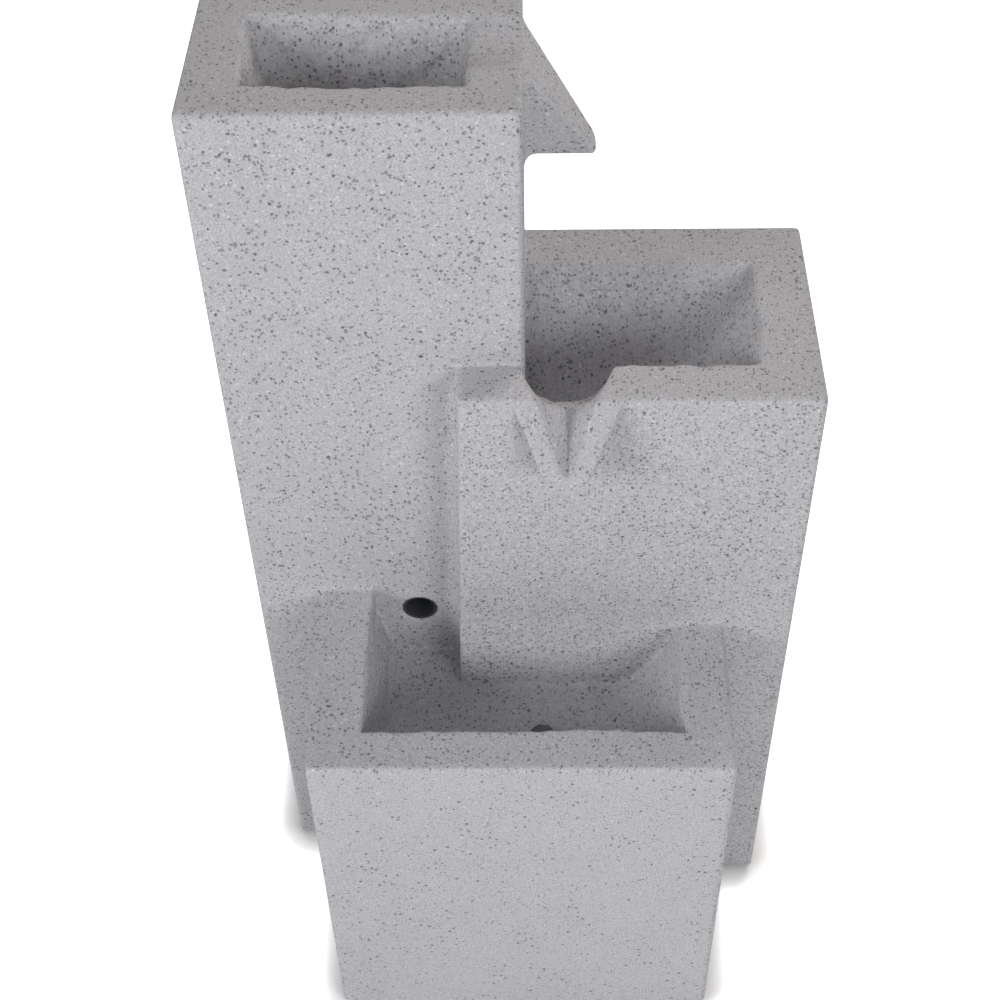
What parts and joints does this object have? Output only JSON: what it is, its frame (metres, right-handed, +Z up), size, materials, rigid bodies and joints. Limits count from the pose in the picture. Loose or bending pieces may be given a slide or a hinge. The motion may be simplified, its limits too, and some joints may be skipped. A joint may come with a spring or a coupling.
{
  "type": "indoor fountain",
  "caption": "Free-standing cascade fountain of stepped cast-stone columns with scooped basins, channel spouts, an overflow hole and a recirculating pump behind a rear door.",
  "frame": {"origin": "on the ground, under the middle of the whole fountain's plan", "axes": "+X to the right, seen from the front; +Y to the back, where the service door is; +Z up. The spouts face +X and -Y."},
  "size_m": [0.392, 0.303, 0.75],
  "materials": {
    "cast_granite": "matt speckled grey cast stone",
    "base_board": "matt recycled plastic board",
    "screw_steel": "plain stainless steel",
    "black_rubber": "matt black rubber",
    "insert_brass": "turned brass",
    "tub_plastic": "dark grey moulded plastic",
    "pump_plastic": "black moulded plastic",
    "rotor_plastic": "white moulded plastic",
    "shaft_ceramic": "polished ceramic",
    "bushing_rubber": "matt black rubber",
    "sponge_foam": "open-cell filter foam",
    "knob_plastic": "red moulded plastic",
    "clear_tube": "milky flexible tube",
    "plug_rubber": "matt dark grey rubber"
  },
  "bodies": {
    "fountain": {"tall_column": "cast_granite", "tall_basin": "cast_granite", "middle_column": "cast_granite", "middle_basin": "cast_granite", "front_plinth": "cast_granite", "front_basin": "cast_granite", "base_plate": "base_board", "base_screws": "screw_steel", "foot_pads": "black_rubber", "door_inserts": "insert_brass", "cable_grommet": "black_rubber", "sump_tub": "tub_plastic", "pump_housing": "pump_plastic", "pump_volute": "pump_plastic", "pump_shaft": "shaft_ceramic", "pump_bushings": "bushing_rubber", "suction_feet": "black_rubber", "flow_valve": "pump_plastic", "riser_hose": "clear_tube", "hose_clips": "screw_steel", "inlet_fitting": "pump_plastic", "inlet_seal": "black_rubber", "inlet_nut": "pump_plastic", "overflow_elbow": "tub_plastic", "drain_bush": "tub_plastic", "drain_nut": "tub_plastic", "drain_tube": "clear_tube"},
    "door": {"service_door": "cast_granite", "door_seal": "black_rubber", "door_screws": "screw_steel"},
    "impeller": {"pump_impeller": "rotor_plastic"},
    "strainer": {"pump_strainer": "pump_plastic", "filter_sponge": "sponge_foam"},
    "knob": {"flow_knob": "knob_plastic"},
    "plug": {"drain_plug": "plug_rubber"}
  },
  "joints": [
    {"name": "impeller_spin", "type": "hinge", "parent": "fountain", "child": "impeller", "pos_m": [-0.104, 0.07485, 0.045], "axis": [1, 0, 0], "continuous": true},
    {"name": "flow_knob_turn", "type": "hinge", "parent": "fountain", "child": "knob", "pos_m": [-0.096, 0.07485, 0.09608], "axis": [0, 1, 0], "range_deg": [0, 90]},
    {"name": "drain_plug_pull", "type": "slide", "parent": "fountain", "child": "plug", "axis": [0, 0, 1], "range_m": [0, 0.05]},
    {"name": "service_door_lift_off", "type": "slide", "parent": "fountain", "child": "door", "axis": [0, 1, 0], "range_m": [0, 0.12]},
    {"name": "strainer_pull_off", "type": "slide", "parent": "fountain", "child": "strainer", "axis": [1, 0, 0], "range_m": [0, 0.03]}
  ]
}
